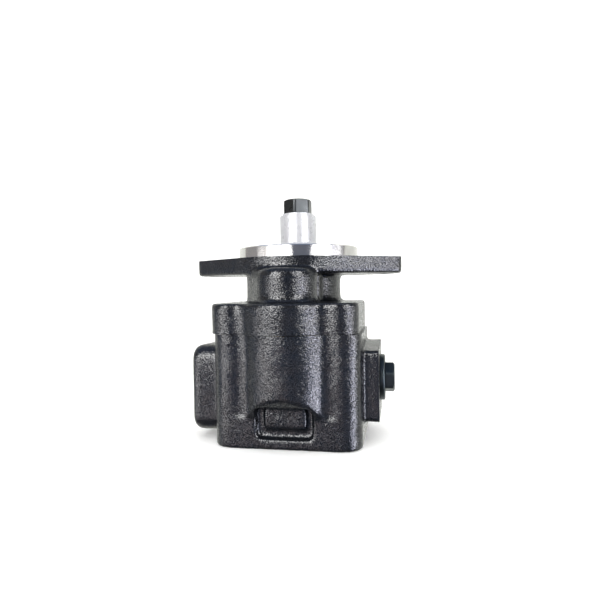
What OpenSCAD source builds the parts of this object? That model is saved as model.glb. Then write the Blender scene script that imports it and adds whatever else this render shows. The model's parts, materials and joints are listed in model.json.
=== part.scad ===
// Hydraulic external gear pump with a two-bolt flange, built as it comes apart on a bench.
// Frame: the drive shaft lies on +Z and its driven end points up. The origin is the centre of
// the pilot on the flange's mounting face. Flange ears and ports lie along X, and the driven
// gear lies towards -Y. All sizes are in millimetres.

/* [Flange] */
// Diameter of the centring pilot
pilot_d = 101.6; // [101.5:0.05:101.6]
// Height of the pilot above the mounting face
pilot_h = 9.4; // [6:0.1:9.7]
// Distance between the two mounting holes
bolt_spacing = 146; // [145.6:0.1:146.4]
// Diameter of a mounting hole
bolt_hole_d = 14.3; // [14:0.1:15]
// Overall width of the flange across its ears
flange_w = 174.3; // [172:0.1:178]
// Thickness of the flange
flange_t = 13.5; // [12:0.5:14]
// Width of an ear across its blunt end
ear_w = 30; // [28:0.5:34]
// Radius of the flange around the pilot
flange_r = 58.6; // [56:0.1:60]

/* [Gears] */
// Distance between the two gear axes
gear_centres = 50.8; // [50.6:0.1:51]
// Teeth on each gear
teeth = 13; // [12:1:14]
// Pressure angle of the teeth in degrees
pressure_angle = 25; // [24:0.5:27]
// Width of the gears
gear_w = 38; // [36:0.5:38.5]
// Sideways play between the teeth at the pitch line
backlash = 0.12; // [0.08:0.01:0.2]

/* [Castings] */
// Height from the mounting face down to the cover's shoulder
shoulder_drop = 35.6; // [34:0.1:37]
// Height from the mounting face down to the joint between the castings
joint_drop = 58.7; // [58:0.1:60]
// Height from the mounting face down to the closed rear face
rear_drop = 143.2; // [141:0.1:145]
// Height of the rectangular base above the rear face
base_h = 23.7; // [22:0.1:25]
// Outer radius of the barrels around the gears
barrel_r = 36.3; // [36.2:0.1:37]
// Distance from the middle plane to a screw column
column_x = 41.3; // [41:0.1:43]
// Distance between the front and rear screw columns
column_span = 68.2; // [67:0.1:70]
// Outer radius of a screw column
column_r = 15; // [14:0.1:15.5]
// How far the cover's rough skin sits to the left of its machined axes
cover_shift = 0.3; // [0:0.1:0.6]
// How far the housing's rough skin sits to the right of its machined axes
housing_shift = 1.7; // [1:0.1:2]
// Radius of the neck under the flange
neck_r = 35.7; // [34:0.1:37]
// Radius of the idler boss in front of the neck
boss_r = 23.7; // [23:0.1:25]

/* [Ports] */
// Distance from the mounting face down to the port axis
port_drop = 96; // [95:0.1:97]
// Distance from the drive axis to the inlet face
inlet_face = 78; // [76:0.5:79]
// Distance from the drive axis to the outlet face
outlet_face = 69.8; // [69:0.1:71]
// Bore of the inlet thread
inlet_bore_d = 30.3; // [28:0.1:31]
// Bore of the outlet thread
outlet_bore_d = 24.1; // [22:0.1:25]

/* [Shaft end] */
// Outer diameter of the hub
hub_d = 31; // [30:0.1:33]
// Height of the hub's top above the mounting face
hub_top = 37.2; // [36:0.1:42]
// Size of the hub bolt's head across its flats
bolt_af = 22; // [19:1:22]
// Height of the hub bolt's head
bolt_head_h = 13; // [10:0.1:14]

/* [Hidden] */
$fn = 96;
hull_fn = 32;
over = 1;

// Levels along the shaft
z_shoulder = -shoulder_drop;
z_joint = -joint_drop;
z_rear = -rear_drop;
z_ledge = z_rear + base_h;
z_port = -port_drop;
plate_t = 5;
plate_groove = 2;
face_play = 0.05;
z_gear_top = z_joint - plate_t - face_play;
z_gear_low = z_gear_top - gear_w;
z_floor = z_gear_low - face_play - plate_t;

// Gears
pitch_r = gear_centres / 2;
gear_module = gear_centres / teeth;
tip_r = pitch_r + gear_module;
root_r = pitch_r - 1.25 * gear_module;
base_r = pitch_r * cos(pressure_angle);
chamber_r = tip_r + 0.08;
driven_y = -gear_centres;
mid_y = -gear_centres / 2;

// Castings
front_y = mid_y - column_span / 2;
rear_y = mid_y + column_span / 2;
base_front = front_y - column_r;
base_back = rear_y + column_r;
barrel_front = driven_y - barrel_r;
valley_r = 12;
valley_bite = 0.05;
boss_top = -9;
boss_edge = 5;
lobe_r = 11;
lobe_at = [-24, -38];
fillet_r = 4;
cover_barrel_r = barrel_r - 0.4;

// Journals and bushings
journal_r = 12.5;
running = 0.03;
bushing_r = 15.5;
z_front_bush = z_joint + 26;
z_rear_bush = z_floor - 20;
end_room = 1;
bar_chamfer = 0.8;

// Outboard bearing and shaft seal
bearing_r = 26;
bearing_w = 15;
z_bearing = -20;
z_bearing_top = z_bearing + bearing_w;
ball_r = 3.97;
ball_circle_r = 19.25;
ball_count = 9;
ball_gap = 0.03;
seal_w = 7;
z_seal = z_bearing_top + 1.6;
ring_t = 1.8;
ring_bite = 1.2;
z_ring = z_seal + seal_w + 0.05;

// Shaft end
stub_r = 11;
z_stub = pilot_h + 0.8;
z_stub_top = hub_top - 1.2;
key_w = 6;
key_l = 18;
key_sunk = 3.5;
key_proud = 2.7;
key_z = z_stub + 5;
hub_foot_r = 22;
hub_foot_h = 3;
washer_t = 1.6;
washer_r = 13.2;
hub_bolt_r = 6;
thread_deep = 24;
thread_play = 0.8;

// Groove for the body seal around the chamber, and the seal's play in it
groove_deep = 1.5;
groove_at = 1.2;
groove_w = 2;
seal_play = 0.05;

// Screws and dowels
screw_r = 5;
screw_head_r = 7.8;
screw_head_h = 9.5;
screw_socket_af = 8;
screw_socket_deep = 5;
screw_play = 0.5;
head_play = 0.4;
z_screw_seat = z_rear + 11;
z_screw_end = z_shoulder - 4;
dowel_r = 3;
dowel_l = 16;
dowel_at = [[-44, mid_y - 10], [44, mid_y + 10]];

// Ports
inlet_low = z_port - 41;
inlet_high = z_port + 30.5;
inlet_half = 30;
inlet_draft = 2.8;
inlet_slope = 10.5;
inlet_spot_d = 49;
outlet_low = z_port - 30;
outlet_high = z_port + 27.7;
outlet_draft = 3.8;
outlet_half = 28.5;
outlet_spot_d = 42;
plug_flange_r = 18;
plug_flange_t = 4.1;
plug_af = 21;
plug_hex_l = 7;
plug_thread_l = 15;
plug_bore_d = 12;
inlet_depth = 20;
outlet_depth = 18;
core_r = 9.5;
core_rise = 3;

function polar(r, a) = [r * cos(a), r * sin(a)];

// Involute helpers: angle swept from the base circle out to radius r
function sweep_at(r) = (sqrt(r * r / base_r / base_r - 1) - acos(base_r / r) * PI / 180) * 180 / PI;
half_tooth = 90 / teeth - backlash / 2 / pitch_r * 90 / PI + sweep_at(pitch_r);
flank_steps = 8;
function flank_r(i) = base_r + (tip_r - base_r) * i / flank_steps;
function tooth(a) = concat(
    [polar(root_r, a - half_tooth)],
    [for (i = [0 : flank_steps]) polar(flank_r(i), a - half_tooth + sweep_at(flank_r(i)))],
    [for (i = [flank_steps : -1 : 0]) polar(flank_r(i), a + half_tooth - sweep_at(flank_r(i)))],
    [polar(root_r, a + half_tooth)]);

// Places of the four screw columns
column_at = [for (x = [-column_x, column_x]) for (y = [front_y, rear_y]) [x, y]];

// ---- shared shapes ----

// Gear body with chamfered outer edges, standing on z = 0
module gear_blank(turn) {
    chamfer = 0.5;
    intersection() {
        linear_extrude(gear_w)
            polygon([for (k = [0 : teeth - 1]) each tooth(turn + k * 360 / teeth)]);
        union() {
            cylinder(h = 2 * chamfer, r1 = tip_r - chamfer, r2 = tip_r + chamfer);
            translate([0, 0, 2 * chamfer]) cylinder(h = gear_w - 4 * chamfer, r = tip_r + chamfer);
            translate([0, 0, gear_w - 2 * chamfer])
                cylinder(h = 2 * chamfer, r1 = tip_r + chamfer, r2 = tip_r - chamfer);
        }
    }
}

// Round bar from z0 to z1 with a chamfer c at both ends
module bar(r, z0, z1, c = 0) {
    translate([0, 0, z0])
        rotate_extrude()
            polygon([[0, 0], [r - c, 0], [r, c], [r, z1 - z0 - c], [r - c, z1 - z0], [0, z1 - z0]]);
}

// Ring with a square section from z0 to z1
module ring(outer, inner, z0, z1) {
    translate([0, 0, z0])
        rotate_extrude()
            translate([inner, 0])
                square([outer - inner, z1 - z0]);
}

// Filler that rounds the valley between two circles that cross or nearly touch. Its arc bites
// a little into both circles, because arcs that only touch leave slivers.
// side is 1 or -1 and picks the left or right side of the line from the first to the second.
module valley(c1, r1, c2, r2, side) {
    d = norm(c2 - c1);
    a = r1 + valley_r - valley_bite;
    b = r2 + valley_r - valley_bite;
    along = (a * a - b * b + d * d) / (2 * d);
    off = sqrt(a * a - along * along);
    dir = (c2 - c1) / d;
    centre = c1 + dir * along + side * off * [-dir[1], dir[0]];
    difference() {
        polygon([c1, c2, centre]);
        translate(centre) circle(r = valley_r);
    }
}

// Outline of the body: two barrels, four screw columns, filled sides and rounded valleys
module body_outline(r) {
    side_x = column_x + column_r;
    for (y = [0, driven_y]) translate([0, y]) circle(r = r);
    translate([-r, driven_y]) square([2 * r, gear_centres]);
    for (c = column_at) translate(c) circle(r = column_r);
    translate([-side_x, front_y]) square([2 * side_x, column_span]);
    for (s = [-1, 1]) {
        valley([0, driven_y], r, [s * column_x, front_y], column_r, s > 0 ? -1 : 1);
        valley([0, 0], r, [s * column_x, rear_y], column_r, s > 0 ? 1 : -1);
    }
}

// Rectangle with the body's own rounded corners
module base_outline() {
    for (c = column_at) translate(c) circle(r = column_r);
    translate([-column_x, base_front]) square([2 * column_x, base_back - base_front]);
    translate([-column_x - column_r, front_y]) square([2 * (column_x + column_r), column_span]);
}

// Figure-eight outline around both gear axes
module eight(r) {
    for (y = [0, driven_y]) translate([0, y]) circle(r = r);
}

// Racetrack around both gear axes
module track(r) {
    eight(r);
    translate([-r, driven_y]) square([2 * r, gear_centres]);
}

module at_axes() {
    for (y = [0, driven_y]) translate([0, y, 0]) children();
}

module at_columns() {
    for (c = column_at) translate([c[0], c[1], 0]) children();
}

// ---- castings ----

// Diamond flange with blunt ears
module flange_plate() {
    corner_r = 6;
    ear_x = flange_w / 2 - corner_r;
    translate([0, 0, -flange_t])
        linear_extrude(flange_t)
            hull() {
                circle(r = flange_r);
                for (x = [-ear_x, ear_x]) for (y = [-1, 1])
                    translate([x, y * (ear_w / 2 - corner_r)]) circle(r = corner_r, $fn = hull_fn);
            }
}

// Concave ring that blends a round post into the flat below it
module foot_fillet(r, size) {
    rotate_extrude()
        difference() {
            translate([r - size, 0]) square([2 * size, size]);
            translate([r + size, size]) circle(r = size);
        }
}

// Boss that houses the driven gear's front journal. A smaller lobe widens it to the left, and
// its top edge is rounded in four steps.
module idler_boss() {
    foot = z_shoulder - over;
    hull()
        for (step = [0 : 30 : 90]) {
            inset = boss_edge * (1 - cos(step));
            top = boss_top - boss_edge * (1 - sin(step));
            translate([0, driven_y, foot]) cylinder(h = top - foot, r = boss_r - inset, $fn = 64);
            translate([lobe_at[0], lobe_at[1], foot])
                cylinder(h = top - foot, r = lobe_r - inset, $fn = hull_fn);
        }
    // Web back to the neck
    translate([lobe_at[0] - lobe_r, lobe_at[1], foot])
        cube([boss_r + lobe_r - lobe_at[0], -lobe_at[1], over - flange_t - foot]);
}

module cover_skin() {
    flange_plate();
    cylinder(h = pilot_h - 0.8, d = pilot_d);
    translate([0, 0, pilot_h - 0.8]) cylinder(h = 0.8, d1 = pilot_d, d2 = pilot_d - 1.6);
    translate([0, 0, z_shoulder - over])
        cylinder(h = shoulder_drop + over, r = neck_r);
    translate([0, 0, -flange_t]) mirror([0, 0, 1]) foot_fillet(neck_r, fillet_r);
    idler_boss();
    translate([-cover_shift, 0, z_joint])
        linear_extrude(z_shoulder - z_joint)
            body_outline(cover_barrel_r);
    // Fillets on the shoulder, which stop at the edge of the body
    intersection() {
        translate([0, 0, z_shoulder]) {
            foot_fillet(neck_r, fillet_r);
            translate([0, driven_y, 0]) foot_fillet(boss_r, fillet_r);
        }
        translate([-cover_shift, 0, z_shoulder])
            linear_extrude(fillet_r)
                body_outline(cover_barrel_r);
    }
}

module cover_bores() {
    relief_r = journal_r + 1.5;
    relief_h = 5;
    drain_r = 2.5;
    drain_from = 8;
    // Pocket for the bearing, the seal and the retaining ring
    translate([0, 0, z_bearing]) cylinder(h = pilot_h - z_bearing + over, r = bearing_r);
    translate([0, 0, z_ring]) cylinder(h = ring_t, r = bearing_r + ring_bite);
    // Run of the shaft between bushing and bearing
    translate([0, 0, z_front_bush - over])
        cylinder(h = z_bearing - z_front_bush + 2 * over, r = relief_r);
    // Bushing bores, and the room above the driven journal
    at_axes()
        translate([0, 0, z_joint - over])
            cylinder(h = z_front_bush - z_joint + over, r = bushing_r);
    translate([0, driven_y, z_front_bush - over]) cylinder(h = relief_h + over, r = relief_r);
    // Drain from the idler boss to the run of the shaft
    translate([0, driven_y + drain_from, z_front_bush + 1])
        rotate([-90, 0, 0])
            cylinder(h = -driven_y - drain_from - relief_r + 2 * over, r = drain_r);
}

module cover_holes() {
    for (s = [-1, 1])
        translate([s * bolt_spacing / 2, 0, -flange_t - over])
            cylinder(h = flange_t + 2 * over, d = bolt_hole_d);
    at_columns()
        translate([0, 0, z_joint - over]) cylinder(h = z_screw_end - z_joint + 2 * over, r = screw_r);
    for (p = dowel_at)
        translate([p[0], p[1], z_joint - over]) cylinder(h = dowel_l / 2 + over, r = dowel_r);
}

module front_cover() {
    color([0.06, 0.06, 0.07])
        difference() {
            cover_skin();
            cover_bores();
            cover_holes();
        }
}

// Barrels and columns above the base. In front of and behind the base the barrels end in a
// slope that runs back down to the base's own faces.
module upper_body() {
    side_x = column_x + column_r + over;
    slope_h = 1.2 * (base_front - barrel_front);
    intersection() {
        translate([0, 0, z_ledge - over])
            linear_extrude(z_joint - z_ledge + over)
                body_outline(barrel_r);
        translate([-side_x, 0, 0])
            rotate([90, 0, 90])
                linear_extrude(2 * side_x)
                    polygon([[base_front, z_ledge - over], [base_front, z_ledge],
                             [barrel_front, z_ledge + slope_h], [barrel_front, z_joint],
                             [barrel_r, z_joint], [barrel_r, z_ledge + slope_h],
                             [base_back, z_ledge], [base_back, z_ledge - over]]);
    }
}

// Inlet boss: a block with rounded edges. Its top drops a little to the front, and its rear
// corner falls away towards the face.
module inlet_boss() {
    edge = 11;
    end_edge = 7;
    root_x = 48;
    root_l = 6;
    disc_t = 0.5;
    front_top = inlet_high - inlet_draft;
    // Each corner: its side, its height at the body and its height at the face
    corners = [[-1, inlet_low + edge, inlet_low + edge], [1, inlet_low + edge, inlet_low + edge],
               [-1, front_top - edge, front_top - edge - 0.5],
               [1, inlet_high - edge, inlet_high - edge - inlet_slope]];
    hull()
        for (c = corners)
            translate([0, mid_y + c[0] * (inlet_half - edge), 0]) {
                translate([-root_x - root_l, 0, c[1]])
                    rotate([0, 90, 0]) cylinder(h = root_l, r = edge, $fn = hull_fn);
                for (step = [0 : 30 : 90])
                    translate([end_edge * (1 - sin(step)) - inlet_face, 0, c[2]])
                        rotate([0, 90, 0])
                            cylinder(h = disc_t, r = edge - end_edge * (1 - cos(step)), $fn = hull_fn);
            }
}

// Outlet boss: a straight block with a flat machined face, its top a little lower at the front
module outlet_boss() {
    corner = 3;
    reach = outlet_half - corner;
    rotate([90, 0, 90])
        linear_extrude(outlet_face)
            hull()
                for (p = [[-reach, outlet_low + corner], [reach, outlet_low + corner],
                          [reach, outlet_high - corner], [-reach, outlet_high - outlet_draft - corner]])
                    translate([mid_y + p[0], p[1]]) circle(r = corner, $fn = hull_fn);
}

module housing_skin() {
    difference() {
        translate([housing_shift, 0, 0]) {
            translate([0, 0, z_rear]) linear_extrude(base_h) base_outline();
            upper_body();
        }
        cast_recess();
    }
    inlet_boss();
    outlet_boss();
}

// Rectangle with rounded corners, centred on x and standing on y = 0
module rounded(w, h, r) {
    hull()
        for (x = [r - w / 2, w / 2 - r]) for (y = [r, h - r])
            translate([x, y]) circle(r = r, $fn = hull_fn);
}

// Cast recess in the front of the base, with a raised pad that leaves a groove around it
module cast_recess() {
    recess_w = 43;
    recess_r = 5;
    pad_w = 31.5;
    pad_r = 2.5;
    recess_low = z_rear + 8;
    recess_high = z_ledge + 8.5;
    pad_low = recess_low + 7.5;
    pad_high = recess_high - 1.2;
    depth = 4.5;
    reach = 20;
    centre_x = 1.6;
    pad_shift = 0.8;
    difference() {
        translate([centre_x, base_front + depth, recess_low])
            rotate([90, 0, 0])
                linear_extrude(depth + reach) rounded(recess_w, recess_high - recess_low, recess_r);
        translate([centre_x + pad_shift, base_front + depth + over, pad_low])
            rotate([90, 0, 0])
                linear_extrude(depth + over) rounded(pad_w, pad_high - pad_low, pad_r);
    }
}

module housing_bores() {
    // Gear chamber
    translate([0, 0, z_floor]) linear_extrude(z_joint - z_floor + over) eight(chamber_r);
    // Rear bushing bores
    at_axes()
        translate([0, 0, z_rear_bush]) cylinder(h = z_floor - z_rear_bush + over, r = bushing_r);
    // Inlet on -X
    translate([0, mid_y, z_port])
        rotate([0, -90, 0]) {
            translate([core_rise, 0, 0]) cylinder(h = inlet_face - inlet_depth + over, r = core_r);
            translate([0, 0, inlet_face - inlet_depth])
                cylinder(h = inlet_depth + over, d = inlet_bore_d);
            translate([0, 0, inlet_face - 2])
                cylinder(h = 2 + over, d1 = inlet_bore_d, d2 = inlet_bore_d + 6);
            translate([0, 0, inlet_face - 0.6]) cylinder(h = 2, d = inlet_spot_d);
        }
    // Outlet on +X
    translate([0, mid_y, z_port])
        rotate([0, 90, 0]) {
            translate([-core_rise, 0, 0]) cylinder(h = outlet_face - outlet_depth + over, r = core_r);
            translate([0, 0, outlet_face - outlet_depth])
                cylinder(h = outlet_depth + over, d = outlet_bore_d);
            translate([0, 0, outlet_face - 0.4]) cylinder(h = 2, d = outlet_spot_d);
            translate([0, 0, outlet_face - 3]) cylinder(h = 3 + over, r = 15);
        }
}

module housing_holes() {
    at_columns() {
        translate([0, 0, z_screw_seat])
            cylinder(h = z_joint - z_screw_seat + over, r = screw_r + screw_play);
        translate([0, 0, z_rear - over])
            cylinder(h = z_screw_seat - z_rear + over, r = screw_head_r + head_play);
    }
    for (p = dowel_at)
        translate([p[0], p[1], z_joint - dowel_l / 2]) cylinder(h = dowel_l / 2 + over, r = dowel_r);
    // Groove for the body seal
    translate([0, 0, z_joint - groove_deep])
        linear_extrude(groove_deep + over)
            difference() {
                track(chamber_r + groove_at + groove_w);
                track(chamber_r + groove_at);
            }
}

module gear_housing() {
    color([0.07, 0.07, 0.08])
        difference() {
            housing_skin();
            housing_bores();
            housing_holes();
        }
}

// ---- rotating parts ----

module drive_shaft() {
    color([0.62, 0.62, 0.64])
        difference() {
            union() {
                translate([0, 0, z_gear_low]) gear_blank(-90);
                bar(journal_r, z_rear_bush + end_room, z_seal + seal_w + 0.5, bar_chamfer);
                bar(stub_r, z_seal + seal_w - over, z_stub_top, bar_chamfer);
            }
            translate([0, 0, z_stub_top - thread_deep])
                cylinder(h = thread_deep + over, r = hub_bolt_r - thread_play);
            translate([stub_r - key_sunk, -key_w / 2, key_z]) cube([key_sunk + over, key_w, key_l]);
        }
}

module driven_gear() {
    color([0.6, 0.6, 0.62])
        translate([0, driven_y, 0]) {
            translate([0, 0, z_gear_low]) gear_blank(90 + 180 / teeth);
            bar(journal_r, z_rear_bush + end_room, z_front_bush + end_room, bar_chamfer);
        }
}

module bushing(z0, z1) {
    ring(bushing_r, journal_r + running, z0, z1);
}

module front_drive_bushing() {
    color([0.72, 0.53, 0.3]) bushing(z_joint, z_front_bush);
}

module front_driven_bushing() {
    color([0.72, 0.53, 0.3]) translate([0, driven_y, 0]) bushing(z_joint, z_front_bush);
}

module rear_drive_bushing() {
    color([0.72, 0.53, 0.3]) bushing(z_rear_bush, z_floor);
}

module rear_driven_bushing() {
    color([0.72, 0.53, 0.3]) translate([0, driven_y, 0]) bushing(z_rear_bush, z_floor);
}

// Figure-eight plate; seal_up puts the balance-seal groove in its upper face
module thrust_plate(z0, seal_up) {
    journal_play = 0.3;
    slot_x = 11;
    slot_l = 8;
    slot_w = 6;
    slot_deep = 1.5;
    difference() {
        translate([0, 0, z0]) linear_extrude(plate_t) eight(chamber_r - seal_play);
        at_axes()
            translate([0, 0, z0 - over])
                cylinder(h = plate_t + 2 * over, r = journal_r + journal_play);
        // Relief slots that carry trapped oil to the ports
        for (s = [-1, 1])
            translate([s * slot_x - slot_l / 2, mid_y - slot_w / 2,
                       seal_up ? z0 - over : z0 + plate_t - slot_deep])
                cube([slot_l, slot_w, slot_deep + over]);
        translate([0, 0, seal_up ? z0 + plate_t - plate_groove : z0 - over])
            linear_extrude(plate_groove + over) plate_seal_path(2 * seal_play);
    }
}

// Path of a balance seal: a ring around each journal, joined across the middle
module plate_seal_path(extra) {
    mean_r = 21;
    half_w = 1.2 + extra;
    for (y = [0, driven_y])
        translate([0, y])
            difference() {
                circle(r = mean_r + half_w);
                circle(r = mean_r - half_w);
            }
    translate([-half_w, driven_y + mean_r])
        square([2 * half_w, gear_centres - 2 * mean_r]);
}

module plate_seal(z0) {
    translate([0, 0, z0]) linear_extrude(plate_groove - 2 * seal_play) plate_seal_path(0);
}

module front_thrust_plate() {
    color([0.78, 0.62, 0.38]) thrust_plate(z_joint - plate_t, true);
}

module rear_thrust_plate() {
    color([0.78, 0.62, 0.38]) thrust_plate(z_floor, false);
}

module front_plate_seal() {
    color([0.1, 0.1, 0.1]) plate_seal(z_joint - plate_groove + seal_play);
}

module rear_plate_seal() {
    color([0.1, 0.1, 0.1]) plate_seal(z_floor + seal_play);
}

module body_seal() {
    color([0.1, 0.1, 0.1])
        translate([0, 0, z_joint - groove_deep + seal_play])
            linear_extrude(groove_deep - 2 * seal_play)
                difference() {
                    track(chamber_r + groove_at + groove_w - 2 * seal_play);
                    track(chamber_r + groove_at + 2 * seal_play);
                }
}

module dowel_pins() {
    end_play = 0.2;
    color([0.7, 0.7, 0.72])
        for (p = dowel_at)
            translate([p[0], p[1], 0])
                bar(dowel_r, z_joint - dowel_l / 2 + end_play, z_joint + dowel_l / 2 - end_play, 0.5);
}

module cover_screws() {
    color([0.12, 0.12, 0.13])
        at_columns()
            difference() {
                union() {
                    bar(screw_r, z_screw_seat - over, z_screw_end, 0.8);
                    bar(screw_head_r, z_screw_seat - screw_head_h, z_screw_seat, 0.6);
                }
                translate([0, 0, z_screw_seat - screw_head_h - over])
                    cylinder(h = screw_socket_deep + over, r = screw_socket_af / sqrt(3), $fn = 6);
            }
}

// ---- outboard bearing ----

race_r = ball_r + ball_gap;

module bearing_inner_ring() {
    color([0.75, 0.75, 0.77])
        difference() {
            ring(ball_circle_r - 2.2, journal_r, z_bearing, z_bearing_top);
            race_groove();
        }
}

module bearing_outer_ring() {
    color([0.75, 0.75, 0.77])
        difference() {
            ring(bearing_r, ball_circle_r + 2.2, z_bearing, z_bearing_top);
            race_groove();
        }
}

module race_groove() {
    translate([0, 0, z_bearing + bearing_w / 2])
        rotate_extrude()
            translate([ball_circle_r, 0]) circle(r = race_r);
}

module at_balls() {
    for (k = [0 : ball_count - 1])
        rotate([0, 0, k * 360 / ball_count])
            translate([ball_circle_r, 0, z_bearing + bearing_w / 2]) children();
}

module bearing_balls() {
    color([0.85, 0.85, 0.87]) at_balls() sphere(r = ball_r, $fn = 48);
}

module bearing_cage() {
    color([0.72, 0.55, 0.3])
        difference() {
            ring(ball_circle_r + 1.2, ball_circle_r - 1.2,
                 z_bearing + bearing_w / 2 - 5.2, z_bearing + bearing_w / 2 + 5.2);
            at_balls() sphere(r = ball_r + 0.08, $fn = 48);
        }
}

// ---- shaft seal ----

module seal_case() {
    color([0.35, 0.36, 0.38])
        translate([0, 0, z_seal])
            rotate_extrude()
                polygon([[bearing_r, 0], [bearing_r, seal_w], [bearing_r - 8, seal_w],
                         [bearing_r - 8, seal_w - 1], [bearing_r - 1.2, seal_w - 1], [bearing_r - 1.2, 0]]);
}

// Rubber part of the seal: a dust lip at the top and the sealing lip below it
module shaft_seal() {
    lip_r = journal_r + running;
    bond_r = bearing_r - 8;
    color([0.16, 0.1, 0.07])
        translate([0, 0, z_seal])
            rotate_extrude()
                polygon([[bond_r, seal_w], [lip_r + 0.6, seal_w], [lip_r, seal_w - 0.6],
                         [lip_r + 0.9, seal_w - 1.2], [lip_r + 0.9, 3.6], [lip_r, 2.2],
                         [lip_r + 0.8, 0.9], [lip_r + 3.3, 0.9], [lip_r + 3.3, 3.2],
                         [lip_r + 4, 5], [bond_r, seal_w - 1]]);
}

module garter_spring() {
    color([0.7, 0.7, 0.72])
        translate([0, 0, z_seal + 1.7])
            rotate_extrude()
                translate([journal_r + 4.2, 0]) circle(r = 0.8, $fn = 32);
}

module retaining_ring() {
    gap_angle = 40;
    inner_r = bearing_r - 4;
    play = 0.1;
    lug_r = 3;
    eye_r = 1.2;
    color([0.2, 0.2, 0.22])
        translate([0, 0, z_ring + play / 2]) {
            rotate([0, 0, -90 + gap_angle / 2])
                rotate_extrude(angle = 360 - gap_angle)
                    translate([inner_r, 0])
                        square([bearing_r + ring_bite - play - inner_r, ring_t - play]);
            for (s = [-1, 1])
                rotate([0, 0, -90 + s * (gap_angle / 2 + 2)])
                    translate([inner_r, 0, 0])
                        difference() {
                            cylinder(h = ring_t - play, r = lug_r);
                            translate([0, 0, -over]) cylinder(h = ring_t + 2 * over, r = eye_r);
                        }
        }
}

// ---- shaft end ----

module drive_hub() {
    color([0.86, 0.87, 0.88])
        difference() {
            union() {
                bar(hub_d / 2, z_stub, hub_top, 1);
                // Flared foot
                translate([0, 0, z_stub]) cylinder(h = 0.8, r = hub_foot_r);
                translate([0, 0, z_stub + 0.8])
                    cylinder(h = hub_foot_h - 0.8, r1 = hub_foot_r, r2 = hub_d / 2);
            }
            translate([0, 0, z_stub - over]) cylinder(h = hub_top - z_stub + 2 * over, r = stub_r);
            translate([0, -key_w / 2, z_stub - over])
                cube([stub_r + key_proud + 0.1, key_w, hub_top - z_stub + 2 * over]);
        }
}

module hub_key() {
    color([0.55, 0.55, 0.57])
        translate([stub_r - key_sunk, -key_w / 2, key_z]) cube([key_sunk + key_proud, key_w, key_l]);
}

module hub_washer() {
    color([0.8, 0.8, 0.82]) ring(washer_r, hub_bolt_r + 0.4, hub_top, hub_top + washer_t);
}

// Hex head whose corners are turned down to a cone at its top
module hex_head(af, h, crown) {
    corner_r = af / sqrt(3);
    intersection() {
        cylinder(h = h, r = corner_r, $fn = 6);
        rotate_extrude()
            polygon([[0, 0], [corner_r + 0.1, 0], [corner_r + 0.1, h - crown], [af / 2 - 0.6, h], [0, h]]);
    }
}

module hub_bolt() {
    head_z = hub_top + washer_t;
    bolt_turn = 27;
    color([0.1, 0.11, 0.11]) {
        translate([0, 0, head_z]) rotate([0, 0, bolt_turn]) hex_head(bolt_af, bolt_head_h, 2);
        bar(hub_bolt_r - thread_play, z_stub_top - thread_deep + 4, head_z + over, 0.6);
    }
}

module port_plug() {
    sunk = 0.4;
    plug_turn = 6.5;
    undercut_l = 2.6;
    hollow_l = 9;
    color([0.1, 0.12, 0.12])
        translate([outlet_face - sunk, mid_y, z_port])
            rotate([0, 90, 0]) {
                translate([0, 0, -plug_thread_l])
                    difference() {
                        cylinder(h = plug_thread_l + over, d = outlet_bore_d - 0.1);
                        translate([0, 0, plug_thread_l - undercut_l])
                            ring(outlet_bore_d, outlet_bore_d / 2 - 1.4, 0, undercut_l);
                        translate([0, 0, -over]) cylinder(h = hollow_l + over, d = plug_bore_d);
                    }
                bar(plug_flange_r, 0, plug_flange_t + sunk, 0.8);
                translate([0, 0, plug_flange_t])
                    rotate([0, 0, plug_turn]) hex_head(plug_af, plug_hex_l + sunk, 1);
            }
}

module plug_seal() {
    color([0.08, 0.08, 0.08])
        translate([outlet_face - 0.4, mid_y, z_port])
            rotate([0, 90, 0])
                translate([0, 0, -1.3])
                    rotate_extrude()
                        translate([outlet_bore_d / 2, 0]) circle(r = 1.2, $fn = 32);
}

front_cover();
gear_housing();
drive_shaft();
driven_gear();
front_drive_bushing();
front_driven_bushing();
rear_drive_bushing();
rear_driven_bushing();
front_thrust_plate();
rear_thrust_plate();
front_plate_seal();
rear_plate_seal();
body_seal();
dowel_pins();
cover_screws();
bearing_inner_ring();
bearing_outer_ring();
bearing_balls();
bearing_cage();
shaft_seal();
seal_case();
garter_spring();
retaining_ring();
drive_hub();
hub_key();
hub_washer();
hub_bolt();
port_plug();
plug_seal();
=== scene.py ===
"""Looks for the hydraulic gear pump: cast and painted skins, turned metal, studio and camera."""
import json
import math

import bmesh
import bpy
import numpy as np
from mathutils import Matrix, Vector


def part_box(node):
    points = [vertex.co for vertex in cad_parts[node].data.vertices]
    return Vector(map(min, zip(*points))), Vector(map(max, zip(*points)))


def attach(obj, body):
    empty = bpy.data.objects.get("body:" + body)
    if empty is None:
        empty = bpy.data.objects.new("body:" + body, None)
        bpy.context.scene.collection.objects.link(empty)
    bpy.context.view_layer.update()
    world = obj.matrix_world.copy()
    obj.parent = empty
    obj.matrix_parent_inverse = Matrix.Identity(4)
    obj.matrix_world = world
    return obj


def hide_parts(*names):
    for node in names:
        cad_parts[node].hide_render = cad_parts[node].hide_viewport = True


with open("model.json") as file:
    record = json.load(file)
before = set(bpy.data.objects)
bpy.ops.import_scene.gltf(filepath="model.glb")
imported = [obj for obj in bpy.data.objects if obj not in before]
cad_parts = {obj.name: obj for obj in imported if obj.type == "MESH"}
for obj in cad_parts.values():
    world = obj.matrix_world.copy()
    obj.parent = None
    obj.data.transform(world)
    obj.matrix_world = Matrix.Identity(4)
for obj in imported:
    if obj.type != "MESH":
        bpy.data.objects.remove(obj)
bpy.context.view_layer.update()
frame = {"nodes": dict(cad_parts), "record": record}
NODES = frame["nodes"]
MM = 0.001
STATIC, DRIVE = "pump_body", "drive_train"

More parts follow.
